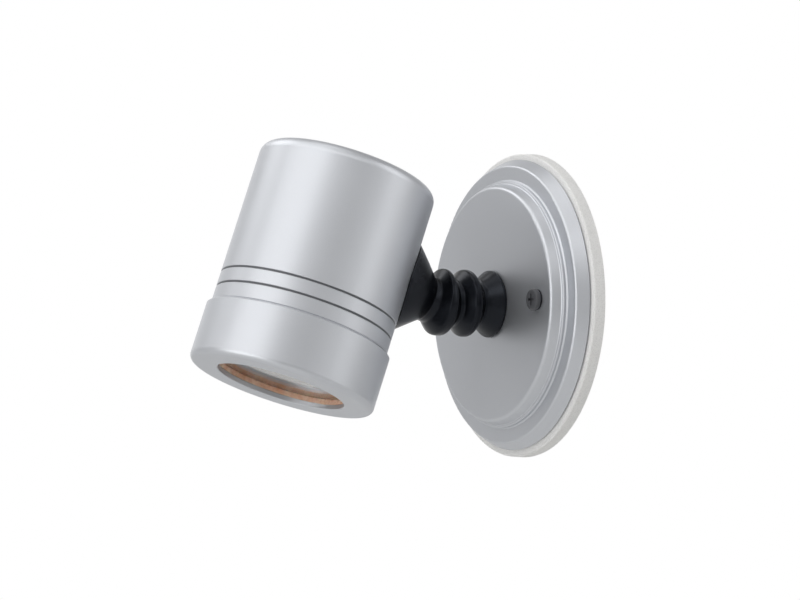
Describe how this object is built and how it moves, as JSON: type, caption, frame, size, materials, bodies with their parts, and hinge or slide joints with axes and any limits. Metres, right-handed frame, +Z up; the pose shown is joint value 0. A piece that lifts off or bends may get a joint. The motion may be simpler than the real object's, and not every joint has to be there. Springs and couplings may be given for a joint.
{
  "type": "wall light",
  "caption": "Pivoting spotlight wall light: round canopy, rubber-booted knuckle arm and cylindrical lamp head with a screw-off lens ring.",
  "frame": {"origin": "centre of the foam gasket's back face, on the wall", "axes": "X along the wall, to the right when facing it; +Y into the wall; +Z up"},
  "size_m": [0.1318, 0.1581, 0.1335],
  "materials": {
    "silver_paint": "satin silver-grey paint on a die casting",
    "foam": "off-white closed-cell foam",
    "zinc_steel": "zinc plated",
    "earth_screw": "green earth screw",
    "dark_steel": "blackened steel",
    "black_rubber": "moulded, slight sheen",
    "nylon": "natural nylon",
    "stem_metal": "turned, zinc plated",
    "fibre": "red-brown fibre",
    "clear_glass": "toughened, polished",
    "amber_silicone": "amber silicone",
    "lamp_shell": "faceted bright reflector",
    "lamp_glass": "clear",
    "ceramic": "white ceramic",
    "brass": "bare"
  },
  "bodies": {
    "wall_plate": {"wall_gasket": "foam", "back_plate": "silver_paint", "box_strap": "zinc_steel", "fixture_strap": "zinc_steel", "strap_rivet": "brass", "ground_screw": "earth_screw", "plate_screws": "dark_steel", "screw_seals": "black_rubber", "swivel_bush": "nylon"},
    "swivel": {"swivel_stem": "stem_metal", "stop_washer": "zinc_steel", "friction_spring": "zinc_steel", "stem_nut": "brass", "knuckle_bolt": "dark_steel", "knuckle_nut": "dark_steel", "friction_discs": "fibre", "rubber_boot": "black_rubber"},
    "head": {"knuckle_tongue": "stem_metal", "arm_seal": "black_rubber", "head_nut": "brass", "head_housing": "silver_paint", "body_o_ring": "black_rubber", "lamp_reflector": "lamp_shell", "lamp_cover": "lamp_glass", "lamp_base": "ceramic", "lamp_pins": "brass", "lampholder": "ceramic", "holder_bracket": "zinc_steel", "bracket_screws": "zinc_steel"},
    "lens_pack": {"lens_glass": "clear_glass", "lens_gasket": "amber_silicone"},
    "bezel": {"front_bezel": "silver_paint"}
  },
  "joints": [
    {"name": "arm_swivel", "type": "hinge", "parent": "wall_plate", "child": "swivel", "pos_m": [0, -0.0179, 0], "axis": [0, -1, 0], "range_deg": [-165, 165]},
    {"name": "head_tilt", "type": "hinge", "parent": "swivel", "child": "head", "pos_m": [0, -0.0458, 0], "axis": [-1, 0, 0], "range_deg": [-60, 25], "deforming": ["rubber_boot"]},
    {"name": "lens_travel", "type": "slide", "parent": "head", "child": "lens_pack", "axis": [0, -0.3322, -0.9432], "range_m": [0, 0.012]},
    {"name": "bezel_turn", "type": "hinge", "parent": "lens_pack", "child": "bezel", "pos_m": [0, -0.10041, 0.01923], "axis": [0, -0.3322, -0.9432], "range_deg": [0, 1440]}
  ],
  "couplings": [
    {"joint": "lens_travel", "follows": "bezel_turn", "m_per_rad": 0.00047726}
  ]
}
